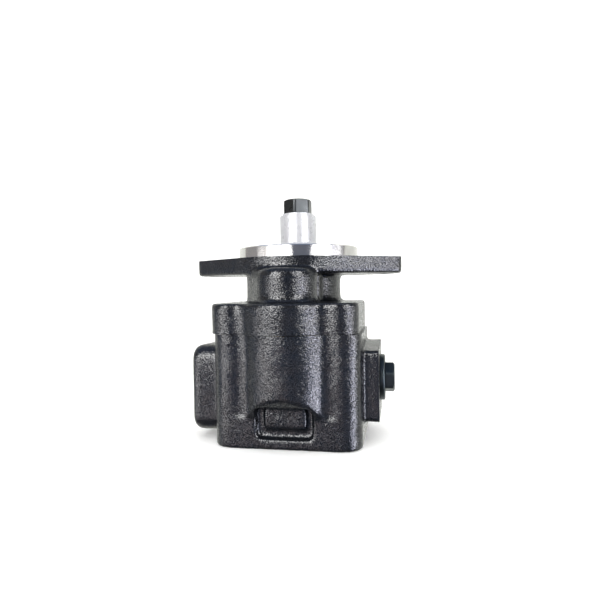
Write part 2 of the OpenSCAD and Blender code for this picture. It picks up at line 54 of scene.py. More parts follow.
# ---- positions read from the frame ----
PLUG_LOW, PLUG_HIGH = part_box("port_plug")
HOUSING_LOW, HOUSING_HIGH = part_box("gear_housing")
SCREWS_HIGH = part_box("cover_screws")[1]
SCREW_HEAD_R = 7.8 * MM
PORT_Y = (PLUG_LOW.y + PLUG_HIGH.y) / 2
PORT_Z = (PLUG_LOW.z + PLUG_HIGH.z) / 2
FLOOR_Z = HOUSING_LOW.z
JOINT_Z = HOUSING_HIGH.z
INLET_X = HOUSING_LOW.x
SCREW_X = SCREWS_HIGH.x - SCREW_HEAD_R
SCREW_Y = SCREWS_HIGH.y - SCREW_HEAD_R - PORT_Y

# ---- positions set by the part's own frame ----
FACE_Z = 0.0
OUTLET_X = 69.8 * MM
FLANGE_HOLE_X = 73 * MM

# ---- mesh helpers ----
MERGE_DISTANCE = 1e-7
# A distance past every side of the pump, for cutting boxes.
FAR = 300 * MM


def add_object(name, data):
    """Links a new object for a mesh, a light or a camera."""
    obj = bpy.data.objects.new(name, data)
    bpy.context.scene.collection.objects.link(obj)
    return obj


def mesh_from(name, verts, faces):
    """A new mesh from its corner points and faces."""
    mesh = bpy.data.meshes.new(name)
    mesh.from_pydata([tuple(v) for v in verts], [], faces)
    mesh.update()
    return mesh


def shade_by_angle(obj, degrees=32):
    """Smooth shading with the edges sharper than the angle kept crisp."""
    mesh = obj.data
    mesh.polygons.foreach_set("use_smooth", [True] * len(mesh.polygons))
    bm = bmesh.new()
    bm.from_mesh(mesh)
    limit = math.radians(degrees)
    for edge in bm.edges:
        edge.smooth = edge.calc_face_angle(0.0) < limit
    bm.to_mesh(mesh)
    bm.free()


def apply_modifiers(obj):
    """Bakes an object's modifiers into a new mesh."""
    graph = bpy.context.evaluated_depsgraph_get()
    baked = bpy.data.meshes.new_from_object(obj.evaluated_get(graph))
    obj.modifiers.clear()
    obj.data = baked


def closed_copy(name, node):
    """A new object with a CAD node's mesh, its split vertices merged so that it is closed."""
    bm = bmesh.new()
    bm.from_mesh(NODES[node].data)
    bmesh.ops.remove_doubles(bm, verts=bm.verts, dist=MERGE_DISTANCE)
    mesh = bpy.data.meshes.new(name)
    bm.to_mesh(mesh)
    bm.free()
    return add_object(name, mesh)


def box_mesh(name, low, high):
    """A box between two opposite corners."""
    bm = bmesh.new()
    bmesh.ops.create_cube(bm, size=1.0)
    size = Vector(high) - Vector(low)
    centre = (Vector(high) + Vector(low)) / 2
    for v in bm.verts:
        v.co = Vector(v.co[i] * size[i] + centre[i] for i in range(3))
    mesh = bpy.data.meshes.new(name)
    bm.to_mesh(mesh)
    bm.free()
    return mesh


def full_turn(count):
    """Angles that divide a full turn evenly."""
    return [2 * math.pi * k / count for k in range(count)]


def row_faces(rows, around):
    """Quads between each row of points and the next. A row is its number in the list of points."""
    steps = [(k, (k + 1) % around) for k in range(around)]
    return [(i * around + k, i * around + m, j * around + m, j * around + k)
            for i, j in zip(rows, rows[1:]) for k, m in steps]


def lathe(name, profile, segments=128):
    """Turns a closed profile of (radius, height) points about Z into a mesh."""
    angles = full_turn(segments)
    verts = [(r * math.cos(a), r * math.sin(a), z) for r, z in profile for a in angles]
    rows = [*range(len(profile)), 0]
    return mesh_from(name, verts, row_faces(rows, segments))


def boolean(obj, cutter_mesh, operation):
    """Combines an object with a cutter mesh and bakes the result."""
    cutter = add_object("cutter", cutter_mesh)
    mod = obj.modifiers.new("cut", "BOOLEAN")
    mod.operation = operation
    mod.solver = "MANIFOLD"
    mod.object = cutter
    apply_modifiers(obj)
    bpy.data.objects.remove(cutter)


def positions(mesh):
    """The mesh's points as an array of rows (x, y, z)."""
    co = np.empty(len(mesh.vertices) * 3)
    mesh.vertices.foreach_get("co", co)
    return co.reshape(-1, 3)


def set_positions(mesh, co):
    """Moves the mesh's points to an array of rows (x, y, z)."""
    mesh.vertices.foreach_set("co", co.ravel())
    mesh.update()


def relax(mesh, weight, rounds):
    """Moves each point up to half way to the mean of its neighbours, by its own weight."""
    co = positions(mesh)
    edges = np.empty(len(mesh.edges) * 2, dtype=np.int64)
    mesh.edges.foreach_get("vertices", edges)
    a, b = edges.reshape(-1, 2).T
    count = np.bincount(np.concatenate([a, b]), minlength=len(co))
    w = (0.5 * weight(co))[:, None]
    for _ in range(rounds):
        total = np.stack([
            np.bincount(a, co[b, k], len(co)) + np.bincount(b, co[a, k], len(co))
            for k in range(3)], axis=1)
        co = co + w * (total / count[:, None] - co)
    set_positions(mesh, co)


def waves(co, rng, size, count=24):
    """Smooth random field of about unit height with features of the given size."""
    direction = rng.normal(size=(count, 3))
    direction /= np.linalg.norm(direction, axis=1)[:, None]
    phase = rng.uniform(0, 2 * math.pi, count)
    return np.sin(co @ direction.T * (2 * math.pi / size) + phase).sum(1) / math.sqrt(count)


def roughen(mesh, weight, rng, layers):
    """Lifts the skin along its normals by layers of waves: (feature size, height)."""
    co = positions(mesh)
    normals = np.empty(len(co) * 3)
    mesh.vertex_normals.foreach_get("vector", normals)
    lift = sum(height * waves(co, rng, size) for size, height in layers)
    set_positions(mesh, co + normals.reshape(-1, 3) * (lift * weight(co))[:, None])


def step_up(value, low, high):
    """0 below low, 1 above high, and smooth between."""
    t = np.clip((value - low) / (high - low), 0, 1)
    return t * t * (3 - 2 * t)


# ---- material helpers ----
class Nodes:
    """Short names for building the node tree of one material or of the world."""

    def __init__(self, owner, space="Object"):
        owner.use_nodes = True
        self.owner = owner
        self.tree = owner.node_tree
        self.surface = self.tree.nodes.get("Principled BSDF")
        self.place = self.add("ShaderNodeTexCoord").outputs[space]

    def add(self, kind, **inputs):
        """Adds a node. An input's name is written with _ for each space."""
        node = self.tree.nodes.new(kind)
        for key, value in inputs.items():
            self.feed(node.inputs[key.replace("_", " ")], value)
        return node

    def feed(self, socket, value):
        """Links another node's output to an input, or sets the input's value."""
        if isinstance(value, bpy.types.NodeSocket):
            self.tree.links.new(value, socket)
        else:
            socket.default_value = value

    def noise(self, size, detail=3.0, stretch=(1, 1, 1), roughness=0.5):
        """Noise with features about size metres across."""
        mapped = self.add("ShaderNodeMapping", Vector=self.place, Scale=stretch).outputs[0]
        node = self.add("ShaderNodeTexNoise", Vector=mapped, Scale=1 / size,
                        Detail=detail, Roughness=roughness)
        return node.outputs[0]

    def ramp(self, value, stops):
        """Colour ramp with stops of (position, grey level or colour)."""
        node = self.add("ShaderNodeValToRGB", Fac=value)
        ramp = node.color_ramp
        ramp.elements[0].position, ramp.elements[0].color = stops[0][0], rgba(stops[0][1])
        ramp.elements[1].position, ramp.elements[1].color = stops[-1][0], rgba(stops[-1][1])
        for position, colour in stops[1:-1]:
            ramp.elements.new(position).color = rgba(colour)
        return node.outputs[0]

    def math(self, operation, a, b=0.0):
        """Result of a maths node."""
        node = self.tree.nodes.new("ShaderNodeMath")
        node.operation = operation
        self.feed(node.inputs[0], a)
        self.feed(node.inputs[1], b)
        return node.outputs[0]

    def mix(self, factor, a, b):
        """Blend of two colours. The node also has sockets for numbers and vectors, so the
        colour ones are picked by their type."""
        node = self.tree.nodes.new("ShaderNodeMix")
        node.data_type = "RGBA"
        colour_inputs = [s for s in node.inputs if s.type == "RGBA"]
        self.feed(node.inputs[0], factor)
        for socket, value in zip(colour_inputs, (a, b)):
            self.feed(socket, rgba(value))
        return next(s for s in node.outputs if s.type == "RGBA")

    def mix_shader(self, factor, a, b):
        """Blend of two shaders."""
        node = self.add("ShaderNodeMixShader")
        for socket, value in zip(node.inputs, (factor, a, b)):
            self.feed(socket, value)
        return node.outputs[0]

    def bump(self, height, distance, strength=1.0, normal=None):
        """Surface relief of the given depth, on top of another relief if there is one."""
        node = self.add("ShaderNodeBump", Height=height, Distance=distance, Strength=strength)
        if normal is not None:
            self.feed(node.inputs["Normal"], normal)
        return node.outputs[0]

    def relief(self, layer, detail, strength=1.0, normal=None, stretch=(1, 1, 1)):
        """Bump of noise for a layer of (feature size, depth)."""
        size, depth = layer
        return self.bump(self.noise(size, detail, stretch), depth, strength, normal)

    def set(self, **inputs):
        """Feeds inputs of the material's surface."""
        for key, value in inputs.items():
            self.feed(self.surface.inputs[key.replace("_", " ")], value)


def rgba(value):
    """A colour socket as it is, or a grey level or colour as four numbers."""
    if isinstance(value, bpy.types.NodeSocket):
        return value
    if isinstance(value, (int, float)):
        return (value, value, value, 1.0)
    return (*value, 1.0)


# ---- materials ----
DARK_PAINT = (0.005, 0.007, 0.011)
WORN_PAINT = (0.010, 0.010, 0.012)
DUST = (0.04, 0.04, 0.042)
# Relief of the painted skin, as (feature size, depth).
SWELL = (9 * MM, 0.04 * MM)
COVER_LINES = (5 * MM, 0.06 * MM)
PEEL = (2.2 * MM, 0.10 * MM)
GRAIN = (0.80 * MM, 0.20 * MM)
# Scale of the noise along X, Y and Z that draws it out into level lines.
LEVEL_LINES = (0.4, 0.4, 3.2)


def paint_material(name, lines):
    """Gloss black paint over a sand-cast skin. lines adds the fine level lines of the cover."""
    n = Nodes(bpy.data.materials.new(name))
    patch = n.noise(30 * MM)
    skin = n.relief(SWELL, detail=2.0)
    if lines:
        skin = n.relief(COVER_LINES, detail=1.0, normal=skin, stretch=LEVEL_LINES)
    skin = n.relief(PEEL, detail=0.0, normal=skin)
    strength = n.ramp(patch, [(0.36, 0.6), (0.62, 1.0)])
    skin = n.relief(GRAIN, detail=0.0, strength=strength, normal=skin)
    gloss = n.ramp(n.noise(0.55 * MM, detail=0.0), [(0.40, 0.0), (0.50, 0.6), (0.60, 1.0)])
    specks = n.ramp(n.noise(0.9 * MM, detail=1.0), [(0.70, 0.0), (0.78, 1.0)])
    dust = n.math("MULTIPLY", specks, n.ramp(patch, [(0.45, 0.0), (0.7, 0.4)]))
    base = n.ramp(n.noise(7 * MM), [(0.3, DARK_PAINT), (0.7, WORN_PAINT)])
    n.set(Base_Color=n.mix(dust, base, DUST),
          Roughness=n.ramp(n.noise(3 * MM), [(0.3, 0.35), (0.7, 0.5)]),
          Specular_IOR_Level=0.04,
          Coat_Weight=gloss,
          Coat_Roughness=n.ramp(patch, [(0.3, 0.03), (0.7, 0.07)]),
          Coat_IOR=1.62,
          Normal=skin,
          Coat_Normal=skin)
    return n.owner


def metal_material(name, colour, roughness, marks, axis="Z", metallic=1.0, anisotropic=0.0):
    """Machined metal with faint cloudy stains and lathe marks round an axis. marks is the
    marks' (spacing, depth)."""
    n = Nodes(bpy.data.materials.new(name))
    along, around = 1, 0.02
    stretch = {"Z": (around, around, along), "X": (along, around, around)}[axis]
    spacing, depth = marks
    lines = n.noise(spacing, stretch=stretch, roughness=0.6)
    cloud = n.noise(9 * MM, detail=4.0)
    fleck = n.noise(0.9 * MM, detail=2.0)
    stained = tuple(0.72 * c for c in colour)
    tint = n.mix(n.ramp(cloud, [(0.35, 0.0), (0.7, 0.45)]), colour, stained)
    spread = [(0.3, roughness * 0.8), (0.7, roughness * 1.25)]
    n.set(Base_Color=tint,
          Metallic=metallic,
          Roughness=n.ramp(cloud, spread),
          Normal=n.bump(fleck, 0.01 * MM, normal=n.bump(lines, depth)))
    if anisotropic:
        tangent = n.add("ShaderNodeTangent")
        tangent.axis = axis
        n.set(Anisotropic=anisotropic, Anisotropic_Rotation=0.25, Tangent=tangent.outputs[0])
    return n.owner


def rubber_material():
    """Black rubber with a fine matt grain."""
    n = Nodes(bpy.data.materials.new("seal_rubber"))
    grain = n.noise(0.5 * MM)
    tone = n.ramp(n.noise(4 * MM), [(0.3, (0.012, 0.011, 0.010)), (0.7, (0.030, 0.027, 0.025))])
    n.set(Base_Color=tone,
          Roughness=n.ramp(grain, [(0.3, 0.45), (0.7, 0.7)]),
          Normal=n.bump(grain, 0.05 * MM))
    return n.owner


PAINT_COVER = paint_material("gloss_paint_cover", True)
PAINT_HOUSING = paint_material("gloss_paint_housing", False)
PILOT_METAL = metal_material("turned_iron", (0.56, 0.55, 0.54), 0.15, (0.35 * MM, 0.02 * MM),
                             anisotropic=0.75)
HUB_METAL = metal_material("bright_hub", (0.66, 0.66, 0.68), 0.30, (0.4 * MM, 0.01 * MM),
                           metallic=0.15)
BLACK_STEEL = metal_material("black_oxide", (0.045, 0.048, 0.050), 0.30, (0.8 * MM, 0.02 * MM))
PLUG_STEEL = metal_material("black_oxide_plug", (0.045, 0.055, 0.06), 0.36, (0.8 * MM, 0.02 * MM),
                            axis="X")
GROUND_STEEL = metal_material("ground_steel", (0.55, 0.55, 0.56), 0.25, (0.3 * MM, 0.01 * MM))
RACE_STEEL = metal_material("bearing_steel", (0.62, 0.62, 0.64), 0.12, (0.3 * MM, 0.003 * MM))
BRONZE = metal_material("bushing_bronze", (0.60, 0.40, 0.18), 0.32, (0.5 * MM, 0.01 * MM))
PORT_METAL = metal_material("cut_iron", (0.42, 0.42, 0.42), 0.3, (0.6 * MM, 0.02 * MM), axis="X")
RUBBER = rubber_material()
SLOT_MATERIAL = {"ground_steel": GROUND_STEEL, "bronze": BRONZE, "seal_rubber": RUBBER,
                 "black_steel": BLACK_STEEL, "bearing_steel": RACE_STEEL, "bright_hub": HUB_METAL,
                 "cast_paint": PAINT_HOUSING}


def finish_piece(obj, material, body, slot, *nodes):
    """Gives a new piece its material and its body, and hides the CAD nodes it stands for. slot is not
    used.
    """
    obj.data.materials.clear()
    obj.data.materials.append(material)
    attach(obj, body)
    if nodes:
        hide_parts(*nodes)


# ---- castings ----
# Grain of the rebuilt skin, and how many rounds of smoothing round off its edges.
VOXEL = 0.8 * MM
SOFTEN = 20
# How far a casting is stretched past its machined levels before it is cut back to them.
STRETCH = 4 * MM
# Unevenness of the sand mould, as (feature size, height).
MOULD_LAYERS = ((14 * MM, 0.06 * MM), (5 * MM, 0.025 * MM))
# Bare strip at the bottom of the cover's skin, which makes the joint a dark line.
JOINT_GAP = 0.4 * MM
# Pairs of distances between which the skin turns from machined to raw or from raw to machined.
SHAFT_BORE_EDGE = (27.5 * MM, 29.5 * MM)
FLANGE_HOLE_EDGE = (7.6 * MM, 9.0 * MM)
SPOT_FACE_EDGE = (25 * MM, 26.5 * MM)
PORT_DEPTH = (50 * MM, 54 * MM)
OUTLET_FACE_DEPTH = (OUTLET_X - 2.5 * MM, OUTLET_X - 0.5 * MM)
SCREW_SEAT_EDGE = (9 * MM, 10.5 * MM)
SCREW_SEAT_DEPTH = (FLOOR_Z, FLOOR_Z + 14 * MM)
# How much of its cast skin the outlet's flat face loses, from 0 to 1.
OUTLET_FACE_CUT = 0.85
rng = np.random.default_rng(7)


def cast_skin(name, node, low, high, keep):
    """Rounded cast copy of a node between two machined levels, where low is None for a cast
    underside. keep(co) is 1 where the skin is raw and 0 where it was machined. The copy is
    stretched past each level and cut back, so the machined edges stay crisp."""
    obj = closed_copy(name, node)
    near = 0.02 * MM
    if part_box(node)[1].z > high + near:
        boolean(obj, box_mesh("cut", (-FAR, -FAR, -FAR), (FAR, FAR, high - near / 2)), "INTERSECT")
    co = positions(obj.data)
    co[co[:, 2] > high - near, 2] += STRETCH
    if low is not None:
        co[co[:, 2] < low + near, 2] -= STRETCH
    set_positions(obj.data, co)
    remesh = obj.modifiers.new("remesh", "REMESH")
    remesh.mode = "VOXEL"
    remesh.voxel_size = VOXEL
    apply_modifiers(obj)
    relax(obj.data, keep, SOFTEN)
    roughen(obj.data, keep, rng, MOULD_LAYERS)
    bottom = -FAR if low is None else low
    boolean(obj, box_mesh("cut", (-FAR, -FAR, bottom), (FAR, FAR, high)), "INTERSECT")
    shade_by_angle(obj, 40)
    return obj


def cover_keep(co):
    """The cover is machined in its shaft bore and in its flange holes."""
    bore_r = np.hypot(co[:, 0], co[:, 1])
    hole_r = np.hypot(np.abs(co[:, 0]) - FLANGE_HOLE_X, co[:, 1])
    return step_up(bore_r, *SHAFT_BORE_EDGE) * step_up(hole_r, *FLANGE_HOLE_EDGE)


def housing_keep(co):
    """The housing is machined at its port faces and bores and round its screw heads."""
    port_r = np.hypot(co[:, 1] - PORT_Y, co[:, 2] - PORT_Z)
    port = (1 - step_up(port_r, *SPOT_FACE_EDGE)) * step_up(np.abs(co[:, 0]), *PORT_DEPTH)
    outlet_face = OUTLET_FACE_CUT * step_up(co[:, 0], *OUTLET_FACE_DEPTH)
    screw_r = np.hypot(np.abs(co[:, 0]) - SCREW_X, np.abs(co[:, 1] - PORT_Y) - SCREW_Y)
    screw = (1 - step_up(screw_r, *SCREW_SEAT_EDGE)) * (1 - step_up(co[:, 2], *SCREW_SEAT_DEPTH))
    return (1 - port) * (1 - outlet_face) * (1 - screw)


def on_port_axis(x, quarter_turns):
    """Turns a shape from Z onto the ports' axis and puts its foot at x."""
    turn = Matrix.Rotation(quarter_turns * math.pi / 2, 4, "Y")
    return Matrix.Translation((x, PORT_Y, PORT_Z)) @ turn


def build_cover():
    """Painted casting of the front cover, down to the joint."""
    cover = cast_skin("cover_casting", "front_cover", JOINT_Z + JOINT_GAP, FACE_Z, cover_keep)
    finish_piece(cover, PAINT_COVER, STATIC, "cast_paint", "front_cover")


def build_pilot():
    """Machined part of the front cover, above the flange's mounting face."""
    pilot = closed_copy("pilot_register", "front_cover")
    above_face = box_mesh("cut", (-FAR, -FAR, FACE_Z + 0.01 * MM), (FAR, FAR, FAR))
    boolean(pilot, above_face, "INTERSECT")
    shade_by_angle(pilot)
    finish_piece(pilot, PILOT_METAL, STATIC, "cast_paint", "front_cover")


def inlet_cutter():
    """Spot face, chamfer and bore of the inlet as one turned tool."""
    spot_r, spot_depth = 24.5 * MM, 0.6 * MM
    bore_r, bore_depth, chamfer = 17 * MM, 19.6 * MM, 1.2 * MM
    core_r, outside = 0.2 * MM, 2 * MM
    profile = [(core_r, outside), (spot_r, outside), (spot_r, -spot_depth),
               (bore_r + chamfer, -spot_depth), (bore_r, -spot_depth - chamfer),
               (bore_r, -bore_depth), (core_r, -bore_depth)]
    tool = lathe("inlet_tool", profile)
    tool.transform(on_port_axis(INLET_X, -1))
    return tool


def build_housing():
    """Painted casting of the gear housing, up to the joint."""
    housing = cast_skin("housing_casting", "gear_housing", None, JOINT_Z, housing_keep)
    boolean(housing, inlet_cutter(), "DIFFERENCE")
    finish_piece(housing, PAINT_HOUSING, STATIC, "cast_paint", "gear_housing")


# ---- turned and hexagon pieces ----
# Radius of the tiny hole on the axis of a turned solid.
CORE_R = 0.3 * MM


def hex_head_mesh(name, across, bottom, top, dome):
    """Hexagon head with softened corners, a turned chamfer at its top and a shallow dome."""
    per_side, corner_cut, corner_left = 16, 0.5 * MM, 0.35
    foot_scale, foot_edge, foot_band = 0.86, 0.15 * MM, 0.8 * MM
    crown_edge, crown_inset, crown_slope = 0.5 * MM, 0.12 * MM, math.tan(math.radians(27))
    total = 6 * per_side
    apothem = across / 2
    flat_r = 0.93 * apothem
    half = math.pi / 6
    soft_r = apothem / math.cos(half) - corner_cut

    def side(a):
        """Radius of the softened hexagon at an angle."""
        sharp_r = apothem / math.cos(a % (2 * half) - half)
        return min(sharp_r, soft_r + corner_left * max(0.0, sharp_r - soft_r))

    angles = full_turn(total)
    sides = [side(a) for a in angles]
    crown = [top - (r - flat_r) * crown_slope for r in sides]
    rings = [[(foot_scale * r, bottom) for r in sides],
             [(r, bottom + foot_edge) for r in sides],
             [(r, bottom + foot_band) for r in sides],
             [(r, z - crown_edge) for r, z in zip(sides, crown)],
             [(r - crown_inset, z) for r, z in zip(sides, crown)],
             [(flat_r, top)] * total]
    rings += [[(flat_r * part, top + dome * (1 - part * part))] * total
              for part in (0.8, 0.55, 0.3, 0.1)]
    verts = [(r * math.cos(a), r * math.sin(a), z) for ring in rings for (r, z), a in zip(ring, angles)]
    faces = row_faces(range(len(rings)), total)
    faces.append(tuple(reversed(range(total))))
    faces.append(tuple(range((len(rings) - 1) * total, len(rings) * total)))
    return mesh_from(name, verts, faces)


def move_mesh(obj, matrix):
    """Moves the points of an object's mesh, so that the object itself stays unmoved."""
    obj.data.transform(matrix)
    obj.data.update()


def join_meshes(name, objects):
    """One object from several closed meshes."""
    bm = bmesh.new()
    for obj in objects:
        bm.from_mesh(obj.data)
        bpy.data.objects.remove(obj)
    mesh = bpy.data.meshes.new(name)
    bm.to_mesh(mesh)
    bm.free()
    return add_object(name, mesh)


def build_hub():
    """Bright sleeve with a flared foot."""
    low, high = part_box("drive_hub")
    foot_r, foot_t, foot_edge = high.x, 0.9 * MM, 0.3 * MM
    bore_r, sleeve_r, flare = 11.05 * MM, 15.5 * MM, 3.0 * MM
    rim, rim_bow = 0.7 * MM, 0.2 * MM
    curve = [(foot_r - (foot_r - sleeve_r) * math.sin(t), low.z + foot_t + flare * (1 - math.cos(t)))
             for t in np.linspace(0, math.pi / 2, 12)]
    profile = [(bore_r, low.z), (foot_r - foot_edge, low.z), (foot_r, low.z + foot_edge)] + curve
    profile += [(sleeve_r, high.z - rim), (sleeve_r - rim_bow, high.z - rim_bow),
                (sleeve_r - rim, high.z), (bore_r, high.z)]
    hub = add_object("hub_sleeve", lathe("hub_sleeve", profile))
    shade_by_angle(hub, 35)
    finish_piece(hub, HUB_METAL, DRIVE, "bright_hub", "drive_hub")


def build_bolt():
    """Hexagon head of the hub bolt, with its shank below."""
    low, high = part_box("hub_bolt")
    head_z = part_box("hub_washer")[1].z
    across, dome, turn = 22 * MM, 0.8 * MM, math.radians(27)
    shank_r, tip, overlap = 5.2 * MM, 0.6 * MM, 1 * MM
    head = add_object("head", hex_head_mesh("head", across, head_z, high.z - dome, dome))
    move_mesh(head, Matrix.Rotation(turn, 4, "Z"))
    profile = [(CORE_R, low.z), (shank_r - tip, low.z), (shank_r, low.z + tip),
               (shank_r, head_z + overlap), (CORE_R, head_z + overlap)]
    shank = add_object("shank", lathe("shank", profile, 48))
    bolt = join_meshes("hub_bolt_piece", [head, shank])
    shade_by_angle(bolt, 24)
    finish_piece(bolt, BLACK_STEEL, DRIVE, "black_steel", "hub_bolt")


def build_plug():
    """Port plug: flange with a rolled edge and a dished face, hexagon and shank."""
    face = OUTLET_X - 0.4 * MM
    flange_r, flange_t, foot_edge, edge = 18 * MM, 4.1 * MM, 0.5 * MM, 1.2 * MM
    dish_r, dish, slope = 13.2 * MM, 0.4 * MM, 0.8 * MM
    across, turn, head_sink = 21 * MM, math.radians(6.5), 0.8 * MM
    shank_r, shank_core_r, shank_top = 12 * MM, 6 * MM, 0.3 * MM
    arc = [(flange_r - edge + edge * math.cos(t), flange_t - edge + edge * math.sin(t))
           for t in np.linspace(0, math.pi / 2, 7)]
    profile = [(CORE_R, 0.0), (flange_r - foot_edge, 0.0), (flange_r, foot_edge)] + arc
    profile += [(dish_r, flange_t), (dish_r - slope, flange_t - dish), (CORE_R, flange_t - dish)]
    flange = add_object("flange", lathe("flange", profile))
    head_mesh = hex_head_mesh("head", across, flange_t - head_sink, PLUG_HIGH.x - face, 0.0)
    head = add_object("head", head_mesh)
    move_mesh(head, Matrix.Rotation(turn, 4, "Z"))
    shank_low = PLUG_LOW.x - face
    shank = add_object("shank", lathe("shank", [(shank_core_r, shank_low), (shank_r, shank_low),
                                                (shank_r, shank_top), (shank_core_r, shank_top)]))
    plug = join_meshes("port_plug_piece", [flange, head, shank])
    move_mesh(plug, on_port_axis(face, 1))
    shade_by_angle(plug, 24)
    finish_piece(plug, PLUG_STEEL, STATIC, "black_steel", "port_plug")


def build_inlet_thread():
    """Thread inside the inlet, as a closed sleeve with a helical inner face. worn is the share
    of the thread's depth that its crests have lost."""
    crest_r, depth, pitch, worn = 15.15 * MM, 1.2 * MM, 2.3 * MM, 0.15
    outer_r, length, start = 16.9 * MM, 18 * MM, 1.5 * MM
    around, along = 96, 140
    turns = [k / around for k in range(around)]
    points = []
    for i in range(along + 1):
        z = length * i / along
        fade = min(1.0, (length - z) / (2 * pitch))
        for turn in turns:
            saw = abs(((z / pitch + turn) % 1.0) * 2 - 1)
            points.append((crest_r + depth * (worn + (1 - worn) * saw) * fade, turn, z))
    points += [(outer_r, turn, z) for z in (0, length) for turn in turns]
    verts = [(r * math.cos(turn * 2 * math.pi), r * math.sin(turn * 2 * math.pi), z)
             for r, turn, z in points]
    outer_low, outer_high = along + 1, along + 2
    rows = [0, outer_low, outer_high, *range(along, -1, -1)]
    sleeve = add_object("inlet_thread", mesh_from("inlet_thread", verts, row_faces(rows, around)))
    move_mesh(sleeve, on_port_axis(INLET_X + start, 1))
    shade_by_angle(sleeve, 30)
    finish_piece(sleeve, PORT_METAL, STATIC, "cast_paint")


build_cover()
build_pilot()
build_housing()
build_hub()
build_bolt()
build_plug()
build_inlet_thread()

# ---- CAD nodes that stay ----
BEVELLED = ("hub_washer", "cover_screws", "retaining_ring", "hub_key", "seal_case", "dowel_pins")


def soften_edges(obj):
    """Small bevel on the sharp edges of a machined piece."""
    bevel = obj.modifiers.new("soft_edges", "BEVEL")
    bevel.width = 0.25 * MM
    bevel.segments = 2
    bevel.limit_method = "ANGLE"
    bevel.angle_limit = math.radians(40)


def dress_cad_nodes():
    """Gives each CAD node that is still shown the material of its slot."""
    slots = {part["node"]: part["material_slot"] for part in frame["record"]["subparts"]}
    for name, obj in NODES.items():
        if obj.hide_render:
            continue
        obj.data.materials.clear()
        obj.data.materials.append(SLOT_MATERIAL[slots[name]])
        if name in BEVELLED:
            soften_edges(obj)


dress_cad_nodes()


# ---- studio ----
# Grey glow that the sheet gives off in reflections only: a painted reflection on the gloss paint.
PAINTED_REFLECTION_GREY = (0.60, 0.61, 0.58)
LIGHT_TARGET = Vector((0, 0, -0.1))


def shade_in_reflections(n):
    """Lets reflections that head towards the camera side pass the sheet, so that the gloss paint
    mirrors the studio there. Behind the pump the sheet shows the gloss paint a grey glow instead, a
    painted reflection that is not the paper's own colour."""
    incoming = n.add("ShaderNodeNewGeometry").outputs["Incoming"]
    towards = n.add("ShaderNodeSeparateXYZ", Vector=incoming).outputs["Y"]
    glossy = n.add("ShaderNodeLightPath").outputs["Is Glossy Ray"]
    # Painted reflection: a grey glow that only gloss rays see on the sheet.
    grey = n.add("ShaderNodeEmission", Color=rgba(PAINTED_REFLECTION_GREY), Strength=2.0).outputs[0]
    clear = n.add("ShaderNodeBsdfTransparent").outputs[0]
    mirrored = n.mix_shader(n.ramp(towards, [(0.0, 0.0), (0.08, 1.0)]), grey, clear)
    surface = n.mix_shader(glossy, n.surface.outputs[0], mirrored)
    n.feed(n.tree.nodes["Material Output"].inputs["Surface"], surface)


def paper_material():
    """White paper with faint stains and folds, lit a little from within."""
    n = Nodes(bpy.data.materials.new("pale_paper"))
    fold = n.noise(60 * MM, detail=4.0, stretch=(1.6, 1, 0.5))
    stain = n.noise(35 * MM, detail=5.0)
    n.set(Base_Color=n.ramp(stain, [(0.25, (0.93, 0.92, 0.89)), (0.6, (0.96, 0.96, 0.95))]),
          Roughness=0.9,
          Normal=n.bump(fold, 1.2 * MM),
          Emission_Color=rgba((1.0, 0.995, 0.98)),
          Emission_Strength=0.25)
    shade_in_reflections(n)
    return n.owner


def curved_backdrop():
    """Pale floor that curves up into a wall behind the pump."""
    half_w, front_y, wall_y, wall_top, bend = 1.8, -1.4, 0.62, 1.3, 0.34
    rows = [(front_y, 0.0), (wall_y - bend, 0.0)]
    rows += [(wall_y - bend + bend * math.sin(t), bend * (1 - math.cos(t)))
             for t in np.linspace(0.1, math.pi / 2, 14)]
    rows.append((wall_y, wall_top))
    verts = [(x, y, FLOOR_Z + z) for y, z in rows for x in (-half_w, half_w)]
    faces = [(2 * i, 2 * i + 1, 2 * i + 3, 2 * i + 2) for i in range(len(rows) - 1)]
    sheet = add_object("paper_sheet", mesh_from("paper_sheet", verts, faces))
    sheet.data.polygons.foreach_set("use_smooth", [True] * len(faces))
    sheet.data.materials.append(paper_material())


def area_light(name, place, size, power):
    """Soft box aimed at the pump. It lights the scene without showing in reflections."""
    data = bpy.data.lights.new(name, "AREA")
    data.shape = "RECTANGLE"
    data.size, data.size_y = size
    data.energy = power
    light = add_object(name, data)
    light.location = place
    light.rotation_mode = "QUATERNION"
    light.rotation_quaternion = (LIGHT_TARGET - Vector(place)).to_track_quat("-Z", "Y")
    light.visible_camera = False
    light.visible_glossy = False


BRIGHTEST = 14.0
DIM = (0.026, 0.032, 0.046)
BLACK = (0.012, 0.012, 0.013)
PALE = (0.06, 0.059, 0.057)
GREY = (0.036, 0.034, 0.032)
# What the gloss paint mirrors in rays that rise, run level or fall, as (azimuth in degrees,
# colour as a fraction of the brightest). Azimuth 0 is in front and positive is to the right.
RISING = [(-180, PALE), (-138, PALE), (-130, GREY), (-49, GREY), (-44, (0.80, 0.80, 0.80)),
          (-9, (0.85, 0.85, 0.84)), (-3, BLACK), (36, BLACK), (41, (0.72, 0.72, 0.73)),
          (70, (0.72, 0.72, 0.73)), (75, BLACK), (104, BLACK), (112, GREY), (138, PALE), (180, PALE)]
LEVEL = [(-180, PALE), (-138, PALE), (-128, DIM), (-76, DIM), (-64, (0.44, 0.44, 0.45)),
         (-38, (0.46, 0.46, 0.47)), (-25, (0.08, 0.085, 0.10)), (-6, DIM), (54, DIM),
         (65, (0.60, 0.60, 0.70)), (96, (0.78, 0.78, 0.80)), (106, (0.18, 0.18, 0.19)), (118, DIM),
         (134, DIM), (142, PALE), (180, PALE)]
